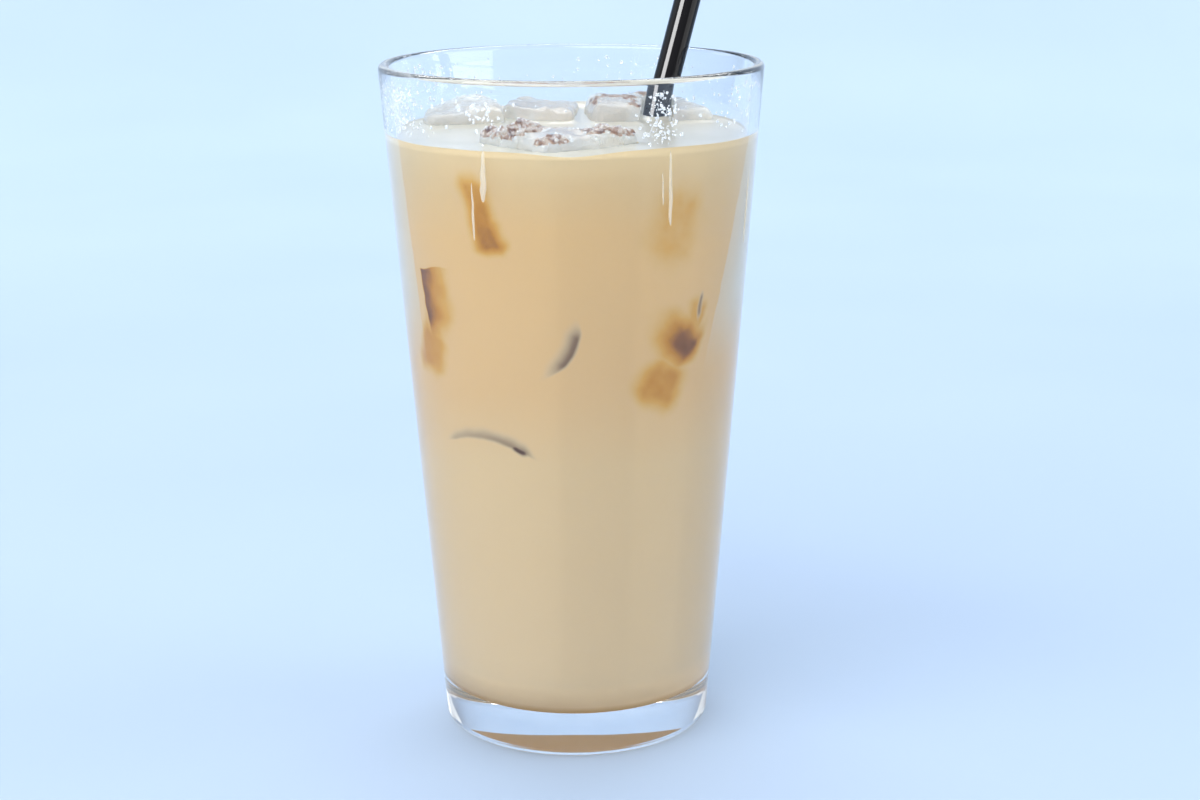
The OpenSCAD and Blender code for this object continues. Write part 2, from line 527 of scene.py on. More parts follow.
# %% Turn the glass
LIP_ROUND = WALL / 2 * 0.97
DOME_STEPS = 6
dome = [(HOLLOW_R * i / DOME_STEPS, HOLLOW_H * (1 - (i / DOME_STEPS) ** 2), 0)
        for i in range(DOME_STEPS)]
wall_top, wall_bottom = GLASS_H - 2 * WALL, FLOOR_T + FLOOR_ROUND * 1.3
outside = straight((outer_r(3 * MM), 3 * MM), (outer_r(wall_top), wall_top), 40)
inside = straight((inner_r(wall_top), wall_top), (inner_r(wall_bottom), wall_bottom), 40)
glass_outline = (
    dome + [(HOLLOW_R, 0, 0.8 * MM), (HOLLOW_R + 2 * MM, 0, 0), (FOOT_R - 3 * MM, 0, 0),
            (FOOT_R, 0, HEEL_ROUND)]
    + outside + [(RIM_R, GLASS_H, LIP_ROUND), (inner_r(GLASS_H), GLASS_H, LIP_ROUND)]
    + inside + [(inner_r(FLOOR_T), FLOOR_T, FLOOR_ROUND), (FOOT_R * 0.6, FLOOR_T, 0),
                (0, FLOOR_T, 0)])
glass = turned("glass_body", glass_outline, clear_glass, 256, 14)
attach(glass, "root")
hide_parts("glass")

# %% [markdown]
# ## The straw
# A thin extruded tube of black plastic, cut square, with its cut edges only just dulled.
# Its wall is one closed outline, turned round the straw's own axis and then laid along the
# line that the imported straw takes. That line runs through the middles of the two ends.

# %% Line of the straw
straw_points = rows_of(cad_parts["straw"].data)
middle = straw_points.mean(axis=0)
straw_way = Vector(np.linalg.svd(straw_points - middle, full_matrices=False)[2][0])
straw_way = straw_way if straw_way.z > 0 else -straw_way
reach = (straw_points - middle) @ np.array(straw_way)
straw_foot = Vector(middle) + straw_way * float(reach.min())
STRAW_LEN = float(reach.max() - reach.min())
lean = math.degrees(straw_way.angle((0, 0, 1)))
print("straw length", round(STRAW_LEN, 4), "lean", round(lean, 2))

# %% Glossy black plastic
black_plastic, tree, shader = finish(
    "glossy black plastic", base_color=(0.003, 0.003, 0.0035, 1), ior=1.25,
    specular_ior_level=0.5)
tree.links.new(placed(tree, HANDLING, "Roughness", scale=160, clean=0.05, worn=0.12),
               shader.inputs["Roughness"])
lines = add(tree, "ShaderNodeTexNoise", {"Vector": object_place(tree), "Scale": 500.0})
bump(tree, shader, lines.outputs["Fac"], 0.00001, 0.4)

CUT_ROUND = 0.1 * MM
bore = STRAW_R - STRAW_WALL
RING_COUNT = 24
CUT_END = 1 * MM
straw_outline = (
    [((STRAW_R + bore) / 2, 0, 0), (STRAW_R, 0, CUT_ROUND)]
    + straight((STRAW_R, CUT_END), (STRAW_R, STRAW_LEN - CUT_END), RING_COUNT)
    + [(STRAW_R, STRAW_LEN, CUT_ROUND), (bore, STRAW_LEN, CUT_ROUND)]
    + straight((bore, STRAW_LEN - CUT_END), (bore, CUT_END), RING_COUNT)
    + [(bore, 0, CUT_ROUND), ((STRAW_R + bore) / 2, 0, 0)])
straw = turned("black_straw", straw_outline, black_plastic, 64, 4)
turn = straw_way.to_track_quat("Z", "Y").to_matrix().to_4x4()
straw.data.transform(Matrix.Translation(straw_foot) @ turn)
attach(straw, "root")
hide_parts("straw")
light_links(streak, "only the straw", straw, "INCLUDE")
light_links(key, "not the straw", straw, "EXCLUDE")

# %% [markdown]
# ## The floating ice
# Bagged ice cubes melt fast in coffee: their edges go soft, their faces dish and ripple,
# and where the straw leans on one it melts a slot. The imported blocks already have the
# right size, place and slot, so each is copied, welded, rebuilt as an even skin of small
# faces and then relaxed and rippled. Sculpting by noise on an even skin keeps the melt the
# same on every side, which a bevel on the sharp block could not.

# %% Ice finish
ICE_TINT = (0.80, 0.84, 0.86)


def ice_finish(name, tint, roughness, milk):
    """Half-clear ice. milk is the share of the light that the cloudy ice scatters."""
    material, tree, shader = see_through_finish(name, tint, 1.31, roughness, (0.8, 0.84, 0.86))
    shader.inputs["Transmission Weight"].default_value = 1 - milk
    return material, tree, shader


clear_ice, tree, shader = ice_finish("melting ice", ICE_TINT, 0.05, 0.36)
tree.links.new(placed(tree, HANDLING, "Roughness", scale=220, clean=0.03, worn=0.35),
               shader.inputs["Roughness"])
bump(tree, shader, placed(tree, RIPPLE, "Height", scale=260, fine_share=0.35), 0.0005, 0.6)

# %% Crushed edges that coffee has dried on
coffee_crust, tree, shader = ice_finish("coffee on crushed ice", (0.50, 0.30, 0.22), 0.3, 0.8)
CRUST_COLOURS = [(0.36, (0.13, 0.05, 0.03)), (0.47, (0.34, 0.18, 0.10)),
                 (0.6, (0.55, 0.45, 0.37))]
crystals = noise_at(tree, object_place(tree), 700, 4)
tree.links.new(ramp(tree, crystals, CRUST_COLOURS), shader.inputs["Base Color"])
bump(tree, shader, placed(tree, RIPPLE, "Height", scale=900, fine_share=0.6), 0.0006)


# %% Melt a packed block
VOXEL = 0.55 * MM


def welded_copy(node, name):
    """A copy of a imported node's mesh with its loose triangles joined."""
    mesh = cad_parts[node].data.copy()
    mesh.materials.clear()
    work = bmesh.new()
    work.from_mesh(mesh)
    bmesh.ops.remove_doubles(work, verts=work.verts, dist=0.00001)
    work.to_mesh(mesh)
    work.free()
    return new_object(name, mesh)


def melted(node, name, depth, seed):
    """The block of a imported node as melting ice, its faces rippled by depth."""
    block = welded_copy(node, name + " block")
    modified(block,
             ("REMESH", dict(mode="VOXEL", voxel_size=VOXEL, use_smooth_shade=True)),
             ("SMOOTH", dict(factor=0.6, iterations=14)))
    piece = applied(block, name)
    bpy.data.objects.remove(block)
    mesh = piece.data
    points, normals = rows_of(mesh), rows_of(mesh, "normal")
    shift = Vector((seed * 0.37, seed * 0.11, seed * 0.23))
    ripple = np.array([noise.fractal(Vector(p) * 130 + shift, 1.0, 2.0, 3) for p in points])
    points -= normals * (depth * np.clip(0.5 + ripple, 0, 1.5))[:, None]
    move_to(mesh, points)
    mesh.update()
    mesh.materials.append(clear_ice)
    print(name, "faces", len(mesh.polygons))
    return piece


ICE_NODES = ["ice_left", "ice_back", "ice_right", "ice_front"]
MELT = [0.6 * MM, 0.6 * MM, 0.6 * MM, 0.9 * MM]
floating = [melted(node, node + "_melting", depth, seed)
            for seed, (node, depth) in enumerate(zip(ICE_NODES, MELT))]

# %% [markdown]
# The tops of the pieces were crushed in the bag. Their broken crystals hold coffee, so the
# top of the front piece is a rough brown crust with grey, clearer patches, and the piece at
# the right has a few flecks. The other two only get a slightly rougher top. A value on each
# vertex says how much coffee there is.

# %% Crushed tops that hold coffee
STAINED = 0.3
CRUST_HEIGHT = 0.7 * MM
CRUST_FROM, CRUST_FULL = 1.5 * MM, 2.7 * MM
CRUST_AMOUNTS = (0.3, 0.3, 0.36, 1.0)
# Places across the front piece, in millimetres, and the share of coffee there
CRUST_ACROSS = ((-9, -5, 2, 6, 11, 14), (3.0, 0.8, 0.6, 1.5, 1.4, 0.6))


def crush_top(piece, amount, across=None):
    """Roughens the top and stains it by amount, which can change by a share across it."""
    mesh = piece.data
    points, normals = rows_of(mesh), rows_of(mesh, "normal")
    upward = np.clip((normals[:, 2] - 0.2) / 0.3, 0, 1)
    rise = points[:, 2] - DRINK_H - CRUST_FROM
    high = np.clip(rise / (CRUST_FULL - CRUST_FROM), 0, 1)
    broad = np.array([noise.noise(Vector(p) * 190) for p in points])
    fine = np.array([noise.noise(Vector(p) * 800) for p in points])
    share = np.interp(points[:, 0] / MM, *across) if across else 1
    values = amount * share * upward * high * np.clip(0.45 + 1.5 * broad + 0.6 * fine, 0, 1)
    layer = mesh.attributes.new("stain", "FLOAT", "POINT")
    layer.data.foreach_set("value", values)
    points[:, 2] += values * CRUST_HEIGHT * (0.3 + broad + 0.6 * fine)
    move_to(mesh, points)
    mesh.materials.append(coffee_crust)
    for face in mesh.polygons:
        if values[list(face.vertices)].mean() > STAINED:
            face.material_index = 1


def melt_down(piece, start, end, share):
    """Melts the part above the drink lower by share, which grows from start to end along Y."""
    mesh = piece.data
    points = rows_of(mesh)
    back = np.clip((points[:, 1] - start) / (end - start), 0, 1)
    lift = np.maximum(points[:, 2] - DRINK_H, 0)
    points[:, 2] -= lift * share * back * back * (3 - 2 * back)
    move_to(mesh, points)
    mesh.update()


melt_down(floating[0], start=0, end=8 * MM, share=0.25)
melt_down(floating[-1], start=-27 * MM, end=-12 * MM, share=0.72)
for piece, amount in zip(floating, CRUST_AMOUNTS):
    crush_top(piece, amount, CRUST_ACROSS if piece is floating[-1] else None)
    stained = sum(face.material_index for face in piece.data.polygons)
    print(piece.name, "stained faces", stained)
for piece, node in zip(floating, ICE_NODES):
    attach(piece, "root")
    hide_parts(node)

# %% [markdown]
# ## Where sunken ice presses on the glass
# Below the surface the milk hides the ice, except where a piece presses on the glass and
# leaves only a thin film of coffee between. The thinner that film, the browner it is coloured:
# amber at half a millimetre, the film's own colour, and near black where the ice touches,
# which is painted shade for the dim drink seen through the clear ice. So each contact is told
# as a film: where it lies on the wall, how wide and tall it is, how it is turned, how thick
# the film is in the middle and how the film opens across and along it. The same table
# shapes the real sunken pieces and colours the drink's skin, so that the two agree.

# %% Table of contacts: angles in degrees, lengths in millimetres
def contact(azimuth, height, half, turn, gap, left, right, down, up,
            across=0.0, along=0.0, bend=0.0, slit=False, ice=(0, 0, 0)):
    """A film over ice: half its flat width and height, then how fast it opens on each side."""
    return dict(azimuth=azimuth, height=height, half=half, turn=turn, gap=gap,
                low=(left, down), high=(right, up), slope=(across, along), bend=bend,
                slit=slit, ice=ice)


CONTACTS = [
    contact(-119.5, 121.6, (1.1, 6.6), 15, 0.60, 0.8, 0.6, 0.8, 0.4, along=0.03, ice=(15, 17, 20)),
    contact(-55, 119, (1.6, 4.5), -14, 1.3, 0.16, 0.16, 0.16, 0.2, ice=(18, 16, 19)),
    contact(-142.6, 103.4, (3.6, 4.6), 7, 0.62, 9.0, 0.22, 0.28, 18.0, across=0.15),
    contact(-148, 91.2, (2.2, 3.0), -14, 0.85, 1.0, 0.3, 0.45, 0.3, across=0.06,
            ice=(16, 18, 22)),
    contact(-90.6, 93.2, (0.05, 3.0), -27, 0.34, 0.75, 5.0, 0.4, 0.6, bend=-0.045, slit=True,
            ice=(18, 17, 15)),
    contact(-57.5, 84.6, (2.6, 2.0), -24, 0.72, 0.34, 0.5, 0.4, 0.3, ice=(17, 16, 21)),
    contact(-49.5, 93.6, (2.0, 1.0), -40, 0.16, 0.20, 0.8, 0.34, 0.4),
    contact(-46, 98.0, (1.4, 2.8), -20, 1.15, 0.4, 1.6, 0.3, 0.6),
    contact(-43.4, 101.2, (0.02, 1.4), -9, 0.5, 6.0, 6.0, 1.2, 2.0, slit=True),
    contact(-122.5, 73.4, (0.05, 8.4), 86, 0.62, 4.5, 0.95, 0.8, 0.6, along=0.02, bend=-0.026,
            slit=True, ice=(17, 18, 21)),
    contact(-110, 71.2, (0.02, 0.8), 62, 0.05, 4.5, 3.0, 1.6, 1.6, slit=True),
    contact(118, 104, (2.2, 5.0), 12, 0.75, 1.8, 0.4, 0.5, 1.5, across=0.08, ice=(16, 17, 20)),
    contact(80, 80, (1.3, 4.0), -20, 0.7, 0.5, 2.0, 0.6, 0.6, along=0.06, ice=(17, 16, 19)),
    contact(37, 98, (2.0, 4.4), 18, 0.8, 0.4, 2.0, 0.6, 0.5, across=-0.08, ice=(18, 17, 20)),
    contact(1, 84, (0.05, 3.6), 24, 0.3, 4.5, 0.6, 0.4, 0.4, bend=0.04, slit=True,
            ice=(16, 17, 18)),
    contact(168, 74, (0.05, 6.0), 80, 0.6, 4.0, 1.0, 0.7, 0.7, bend=-0.03, slit=True,
            ice=(17, 16, 18)),
]
print("contacts of ice with the glass", len(CONTACTS))


# %% [markdown]
# ## The drink's skin
# The group below gives the film's thickness over one contact, in millimetres. A Mapping
# node turns the wall's coordinates so that X points out through the contact, Y across it
# and Z along it. Inside the contact's flat part the film is the gap plus its slopes; past
# the flat part it opens at its own rate on each side, as between the glass and the faces
# of a tilted block with soft edges.

# %% Film thickness over one contact
EDGE_SOFTNESS = 1.6


def vector_calc(tree, operation, *values):
    """A Vector Math node's outputs, its inputs given in order."""
    return add(tree, "ShaderNodeVectorMath", dict(enumerate(values)), operation=operation).outputs


def film_group():
    tree, given, out = new_tree(
        "film over ice",
        [("Vector", "NodeSocketVector", None), ("Place", "NodeSocketVector", (0, 0, 0)),
         ("Turn", "NodeSocketVector", (0, 0, 0)), ("Half", "NodeSocketVector", (0, 1, 1)),
         ("Gap", "NodeSocketFloat", 0.5), ("Slope", "NodeSocketVector", (0, 0, 0)),
         ("Low", "NodeSocketVector", (0, 1, 1)), ("High", "NodeSocketVector", (0, 1, 1)),
         ("Bend", "NodeSocketFloat", 0.0)],
        [("Thickness", "NodeSocketFloat")], "ShaderNodeTree")
    local = add(tree, "ShaderNodeMapping",
                {"Vector": given["Vector"], "Location": given["Place"],
                 "Rotation": given["Turn"], "Scale": (MM, MM, MM)},
                vector_type="TEXTURE").outputs[0]
    parts = add(tree, "ShaderNodeSeparateXYZ", {0: local}).outputs
    bow = calc(tree, "MULTIPLY", given["Bend"], calc(tree, "POWER", parts["Z"], 2.0))
    straight_y = calc(tree, "SUBTRACT", parts["Y"], bow)
    flat = add(tree, "ShaderNodeCombineXYZ", {"Y": straight_y, "Z": parts["Z"]}).outputs[0]
    slopes = vector_calc(tree, "DOT_PRODUCT", flat, given["Slope"])["Value"]
    film = calc(tree, "MAXIMUM", calc(tree, "ADD", given["Gap"], slopes), 0.0)
    for side, rate in ((1, "High"), (-1, "Low")):
        facing = vector_calc(tree, "SCALE", flat)[0]
        facing.node.inputs["Scale"].default_value = side
        over = vector_calc(tree, "SUBTRACT", facing, given["Half"])[0]
        over = vector_calc(tree, "MAXIMUM", over, (0, 0, 0))[0]
        square = vector_calc(tree, "MULTIPLY", over, over)[0]
        soft = vector_calc(tree, "ADD", over, (EDGE_SOFTNESS,) * 3)[0]
        opened = vector_calc(tree, "DIVIDE", square, soft)[0]
        rise = vector_calc(tree, "DOT_PRODUCT", opened, given[rate])["Value"]
        film = calc(tree, "ADD", film, rise)
    behind = calc(tree, "MULTIPLY", calc(tree, "LESS_THAN", parts["X"], 0.0), 99.0)
    tree.links.new(calc(tree, "ADD", film, behind), out.inputs["Thickness"])
    return tree


FILM = film_group()
BODY_COLOURS = [(0.0, (0.60, 0.48, 0.315)), (0.45, (0.62, 0.48, 0.285)),
                (0.6, (0.625, 0.445, 0.235)), (0.85, (0.645, 0.455, 0.225)),
                (1.0, (0.58, 0.46, 0.27))]
# The thinnest films are painted shade, near black for the dim drink behind the clear ice; the
# amber above is the film's own colour.
AMBER_AND_SHADE_COLOURS = [(0.0, (0.13, 0.052, 0.020)), (0.1, (0.22, 0.092, 0.030)),
                 (0.25, (0.45, 0.205, 0.024)), (0.45, (0.56, 0.315, 0.062)),
                 (0.75, (0.60, 0.42, 0.18)), (1.0, (0.62, 0.46, 0.25))]
# The slits are mostly painted shade: a near-black core and a soft grey fringe along thin gaps at
# the ice.
SLIT_SHADE_COLOURS = [(0.0, (0.05, 0.018, 0.010)), (0.12, (0.12, 0.070, 0.050)),
                (0.35, (0.36, 0.29, 0.20)), (0.7, (0.52, 0.42, 0.28)), (1.0, (0.58, 0.45, 0.26))]
# The pale tone beside the ice crowd is froth at its sharp edge and painted sheen towards the
# sides.
PALE_FROTH_AND_SHEEN = (0.59, 0.57, 0.49)
# Painted light low in the drink: an emitted tone on the underside and a darker brown shade over
# its bottom edge.
UNDERSIDE_PAINTED_GLOW = (0.20, 0.115, 0.036)
UNDERSIDE_SHADE = (0.29, 0.18, 0.065, 1)
UNDERSIDE_FROM, UNDERSIDE_FULL = FLOOR_T + 2.4 * MM, FLOOR_T + 0.4 * MM
AMBER_FADE = 2.4
SLIT_FADE = 2.2


def thinnest(tree, vector, contacts):
    """Thickness of the thinnest film over any of these contacts."""
    least = None
    for one in contacts:
        film = add(tree, "ShaderNodeGroup", node_tree=FILM)
        tree.links.new(vector, film.inputs["Vector"])
        for key, value in (
                ("Place", (0, 0, one["height"] * MM)),
                ("Turn", (math.radians(one["turn"]), 0, math.radians(one["azimuth"]))),
                ("Half", (0, *one["half"])), ("Gap", one["gap"]), ("Slope", (0, *one["slope"])),
                ("Low", (0, *one["low"])), ("High", (0, *one["high"])), ("Bend", one["bend"])):
            film.inputs[key].default_value = value
        film = film.outputs[0]
        least = film if least is None else calc(tree, "MINIMUM", least, film)
    return least


# %% Milky coffee, as seen through the glass
# Its emission is a painted glow, coloured on the underside further down.
milk_coffee, tree, shader = finish("milky coffee", roughness=0.45, specular_ior_level=0.1,
                                   emission_strength=1.0)
place = object_place(tree)
height = add(tree, "ShaderNodeSeparateXYZ", {0: place}).outputs["Z"]
share = ranged(tree, height, FLOOR_T, DRINK_H)
waver = calc(tree, "MULTIPLY", calc(tree, "SUBTRACT", noise_at(tree, place, 22, 2), 0.5), 0.22)
share = calc(tree, "ADD", share, waver)
body = ramp(tree, share, BODY_COLOURS)

# %% Thin films over ice
# The wall's coordinates waver first, broadly and finely, so that no edge is ruled.
def wavered(tree, vector, scale, reach):
    """The vector moved by noise, by no more than half of reach."""
    cloud = add(tree, "ShaderNodeTexNoise", {"Vector": vector, "Scale": scale, "Detail": 1.0})
    moved = vector_calc(tree, "SUBTRACT", cloud.outputs["Color"], (0.5, 0.5, 0.5))[0]
    moved = vector_calc(tree, "MULTIPLY", moved, (reach,) * 3)[0]
    return vector_calc(tree, "ADD", vector, moved)[0]


sharp_place = wavered(tree, place, 300.0, 0.8 * MM)
wavering = wavered(tree, sharp_place, 75.0, 5.0 * MM)
grain = calc(tree, "MULTIPLY", calc(tree, "SUBTRACT", noise_at(tree, place, 300, 4), 0.5), 0.55)
# Film colours: amber with painted shade where thinnest, and painted shade along the slits.
ambers = thinnest(tree, wavering, [c for c in CONTACTS if not c["slit"]])
ambers = calc(tree, "ADD", ambers, grain)
amber_film = ranged(tree, ambers, 0.0, AMBER_FADE)
amber = ramp(tree, amber_film, AMBER_AND_SHADE_COLOURS)
cover = ramp(tree, amber_film, [(0.0, (1, 1, 1)), (0.5, (0.9, 0.9, 0.9)), (1.0, (0, 0, 0))])
slits = thinnest(tree, sharp_place, [c for c in CONTACTS if c["slit"]])
slit_film = ranged(tree, slits, 0.0, SLIT_FADE)
dark = ramp(tree, slit_film, SLIT_SHADE_COLOURS)
edge = ramp(tree, slit_film, [(0.0, (1, 1, 1)), (0.4, (0.8, 0.8, 0.8)), (1.0, (0, 0, 0))])
mixed = blended(tree, edge, blended(tree, cover, body, amber), dark)
# Painted shade: the drink turns darker and browner over its bottom 2.4 millimetres and underside.
under = ranged(tree, height, UNDERSIDE_FROM, UNDERSIDE_FULL)
with_films = blended(tree, under, mixed, UNDERSIDE_SHADE)

# %% [markdown]
# The crowd of floating ice at the front keeps the coffee still between its edges, and the
# paler, frothy milk of the rest of the glass stops short at both edges. The edges lean: the
# crowd is a little narrower lower down, and below it the pale milk thins out softly. It
# thins out towards the back as well, where the milk is as brown as it is in front. Past its
# sharp edge the paleness grows towards the sides as painted sheen, the pale grazing look of
# the drink's edges seen from the front.

# %% Pale froth and painted sheen on both sides of the crowd of ice
EDGE_Z = (100 * MM, 134 * MM)
LEFT_EDGE = (math.radians(62.5), math.radians(66))
RIGHT_EDGE = (math.radians(55.5), math.radians(69))
PALE_RISE = math.radians(14)
PALE_LOW, PALE_HIGH = 84 * MM, 104 * MM
PALE_GONE, PALE_WHOLE = math.radians(125), math.radians(84)
across = add(tree, "ShaderNodeSeparateXYZ", {0: sharp_place}).outputs
from_front = calc(tree, "ARCTAN2", across["X"], calc(tree, "MULTIPLY", across["Y"], -1.0))
left_edge, right_edge = (ranged(tree, across["Z"], *EDGE_Z, low, top, clamp=False)
                         for low, top in (LEFT_EDGE, RIGHT_EDGE))
on_right = calc(tree, "GREATER_THAN", across["X"], 0.0)
side_edge = add(tree, "ShaderNodeMix", {"Factor": on_right, 2: left_edge, 3: right_edge})
from_front = calc(tree, "ABSOLUTE", from_front)
past = calc(tree, "SUBTRACT", from_front, side_edge.outputs[0])
past = ranged(tree, past, 0.0, PALE_RISE)
# The paleness steps up at the edge, the froth, then grows towards the sides as painted sheen.
pale = ramp(tree, past, [(0.0, (0, 0, 0)), (0.025, (0.6, 0.6, 0.6)), (1.0, (0.95, 0.95, 0.95))])
lasting = ranged(tree, across["Z"], PALE_LOW, PALE_HIGH, interpolation_type="SMOOTHSTEP")
beside = ranged(tree, from_front, PALE_GONE, PALE_WHOLE, interpolation_type="SMOOTHSTEP")
pale = calc(tree, "MULTIPLY", calc(tree, "MULTIPLY", pale, lasting), beside)
mixed = blended(tree, pale, with_films, (*PALE_FROTH_AND_SHEEN, 1))
tree.links.new(mixed, shader.inputs["Base Color"])

# %% Painted glow on the drink's underside, in place of light that the milk passes on
low_down = ranged(tree, height, FLOOR_T, FLOOR_T + FLOOR_ROUND)
glow = ramp(tree, low_down, [(0.0, UNDERSIDE_PAINTED_GLOW), (1.0, (0, 0, 0))])
tree.links.new(glow, shader.inputs["Emission Color"])

# %% [markdown]
# Seen from above, the same drink looks whiter: a thin froth and melted water lie on it and
# mirror the pale surround. A pale base under a soft coat gives both at once.

# %% Milky coffee, as seen on its open surface
milk_top, tree, shader = finish("milky coffee surface", roughness=0.3, ior=1.35,
                                coat_weight=0.6, coat_roughness=0.25)
TOP_COLOURS = [(0.35, (0.45, 0.42, 0.34)), (0.65, (0.51, 0.48, 0.40))]
swirl = noise_at(tree, object_place(tree), 60, 4)
tree.links.new(ramp(tree, swirl, TOP_COLOURS), shader.inputs["Base Color"])
bump(tree, shader, placed(tree, RIPPLE, "Height", scale=150, fine_share=0.15), 0.0003, 0.5)

# %% [markdown]
# The drink is turned from an outline too. Its side reaches a tenth of a millimetre into
# the glass, so that no gap of air shows between them. Its surface climbs at the wall, the
# straw and the ice, as any wetting liquid does, so the rings of vertices there are moved
# up by a curve that dies away in about a millimetre.

# %% Turn the drink and shape its surface
REACH = 0.12 * MM
CLIMB = 1.25 * MM
CLIMB_FADE = 1.0 * MM
STRAW_CLIMB, ICE_CLIMB = 0.7 * CLIMB, 0.6 * CLIMB
PRESSED_AT, PRESSED_SPREAD = -1, 13
WET_BAND = 0.6 * MM
RINGS = 70


def drink_outline():
    top = DRINK_H + CLIMB
    side = inner_r(top) + REACH
    rings = []
    for i in range(1, RINGS + 1):
        share = 1 - (1 - i / RINGS) ** 1.35 if i < RINGS else 1
        rings.append((side * (1 - share), top, 0))
    low = FLOOR_T - REACH
    return ([(0, low, 0), (FOOT_R * 0.6, low, 0), (inner_r(low) + REACH, low, FLOOR_ROUND)]
            + straight((inner_r(wall_bottom) + REACH, wall_bottom), (side, top), 60)
            + [(side, top, 0)] + rings)


drink = turned("latte_drink", drink_outline(), milk_coffee, 288, 12)


def distance_to_line(points, start, way):
    """Distance of each point from a straight line."""
    offset = points - np.array(start)
    along = offset @ np.array(way)
    return np.linalg.norm(offset - along[:, None] * np.array(way), axis=1)


def shape_surface(piece):
    """Lets the flat top fall to the drink's level, save near what the drink wets."""
    mesh = piece.data
    points = rows_of(mesh)
    top = points[:, 2] > DRINK_H + CLIMB - 1e-6
    wet = []
    for ice in floating:
        wet += [v.co for v in ice.data.vertices if abs(v.co.z - DRINK_H) < WET_BAND]
    tree = KDTree(len(wet))
    for i, co in enumerate(wet):
        tree.insert((co.x, co.y, DRINK_H), i)
    tree.balance()
    to_ice = np.array([tree.find((x, y, DRINK_H))[2] for x, y, _ in points[top]])
    flat = points[top].copy()
    flat[:, 2] = DRINK_H
    to_straw = distance_to_line(flat, straw_foot, straw_way) - STRAW_R
    to_wall = inner_r(DRINK_H) - np.hypot(flat[:, 0], flat[:, 1])
    turn = np.degrees(np.arctan2(flat[:, 0], -flat[:, 1]))
    pressed = np.exp(-((turn - PRESSED_AT) / PRESSED_SPREAD) ** 2)
    sides = (1 - 0.95 * pressed) * (0.85 + 0.15 * np.sin(np.radians(3 * turn + 40)))
    climb = CLIMB * sides * np.exp(-np.maximum(to_wall, 0) / CLIMB_FADE)
    climb = np.maximum(climb, STRAW_CLIMB * np.exp(-np.maximum(to_straw, 0) / CLIMB_FADE))
    climb = np.maximum(climb, ICE_CLIMB * np.exp(-to_ice / CLIMB_FADE))
    swell = np.array([noise.noise(Vector((x, y, 0)) * 70) for x, y, _ in flat])
    flat[:, 2] += climb + 0.15 * MM * swell
    points[top] = flat
    move_to(mesh, points)
    mesh.materials.append(milk_top)
    on_top = set(np.nonzero(top)[0])
    for face in mesh.polygons:
        if all(v in on_top for v in face.vertices):
            face.material_index = 1


shape_surface(drink)

# %% [markdown]
# The floating ice sits in the drink, so the drink is hollow where the ice is. Cutting it
# with blocks a little smaller than the ice leaves the ice reaching just into the drink,
# and again no air shows between them.

# %% Hollows for the floating ice
SINK = 0.15 * MM


def cutter(node):
    block = welded_copy(node, node + " cutter")
    modified(block, ("REMESH", dict(mode="VOXEL", voxel_size=1.1 * MM)),
             ("SMOOTH", dict(factor=0.6, iterations=5)),
             ("DISPLACE", dict(strength=-0.35 * MM - SINK, mid_level=0)))
    made = applied(block, node + " cutter")
    bpy.data.objects.remove(block)
    return made


for node in ICE_NODES:
    block = cutter(node)
    modified(drink, ("BOOLEAN", dict(object=block, operation="DIFFERENCE", solver="EXACT")))
    cut = applied(drink, "latte_drink")
    bpy.data.objects.remove(drink)
    bpy.data.objects.remove(block)
    drink = cut
drink.name = "latte_drink"
for face in drink.data.polygons:
    face.use_smooth = True
print("drink faces", len(drink.data.polygons), [m.name for m in drink.data.materials if m])
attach(drink, "root")
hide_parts("latte")

# %% [markdown]
# ## Sunken ice
# The pieces that press on the glass from inside are real blocks too, each standing behind
# its contact with the film between. A few nodes make one: a cube with its corners pulled
# in by subdivision, set down on each point of a little cloud that carries size and turn.

# %% Blocks behind the contacts
def block_tree():
    tree, given, out = new_tree(
        "blocks on points",
        [("Geometry", "NodeSocketGeometry", None), ("Rounding Levels", "NodeSocketInt", 4),
         ("Edge Crease", "NodeSocketFloat", 0.7), ("Ripple", "NodeSocketFloat", 0.0006),
         ("Ripple Scale", "NodeSocketFloat", 180.0), ("Finish", "NodeSocketMaterial", None)],
        [("Geometry", "NodeSocketGeometry")])
    cube = add(tree, "GeometryNodeMeshCube", {"Size": (1, 1, 1)}).outputs["Mesh"]
    cube = add(tree, "GeometryNodeSubdivisionSurface",
               {0: cube, "Level": given["Rounding Levels"],
                "Edge Crease": given["Edge Crease"]}).outputs[0]
    size = add(tree, "GeometryNodeInputNamedAttribute", {"Name": "size"},
               data_type="FLOAT_VECTOR").outputs[0]
    facing = add(tree, "GeometryNodeInputNamedAttribute", {"Name": "turn"},
                 data_type="FLOAT_VECTOR").outputs[0]
    turn = add(tree, "FunctionNodeEulerToRotation", {0: facing}).outputs[0]
    blocks = add(tree, "GeometryNodeInstanceOnPoints",
                 {"Points": given["Geometry"], "Instance": cube, "Rotation": turn,
                  "Scale": size}).outputs[0]
    blocks = add(tree, "GeometryNodeRealizeInstances", {0: blocks}).outputs[0]
    wave = add(tree, "ShaderNodeTexNoise", {"Scale": given["Ripple Scale"], "Detail": 2.0})
    inward = calc(tree, "MULTIPLY", wave.outputs["Fac"], given["Ripple"])
    inward = calc(tree, "MULTIPLY", inward, -1.0)
    normal = add(tree, "GeometryNodeInputNormal").outputs[0]
    shift = vector_calc(tree, "SCALE", normal)[0]
    tree.links.new(inward, shift.node.inputs["Scale"])
    blocks = add(tree, "GeometryNodeSetPosition", {"Geometry": blocks, "Offset": shift})
    return end_tree(tree, blocks.outputs[0], given, out)


def point_cloud(name, points, **vectors):
    """A mesh of loose points that carries named vectors."""
    mesh = bpy.data.meshes.new(name)
    mesh.from_pydata(points, [], [])
    for key, values in vectors.items():
        layer = mesh.attributes.new(key, "FLOAT_VECTOR", "POINT")
        layer.data.foreach_set("vector", np.array(values, float).ravel())
    return new_object(name, mesh)


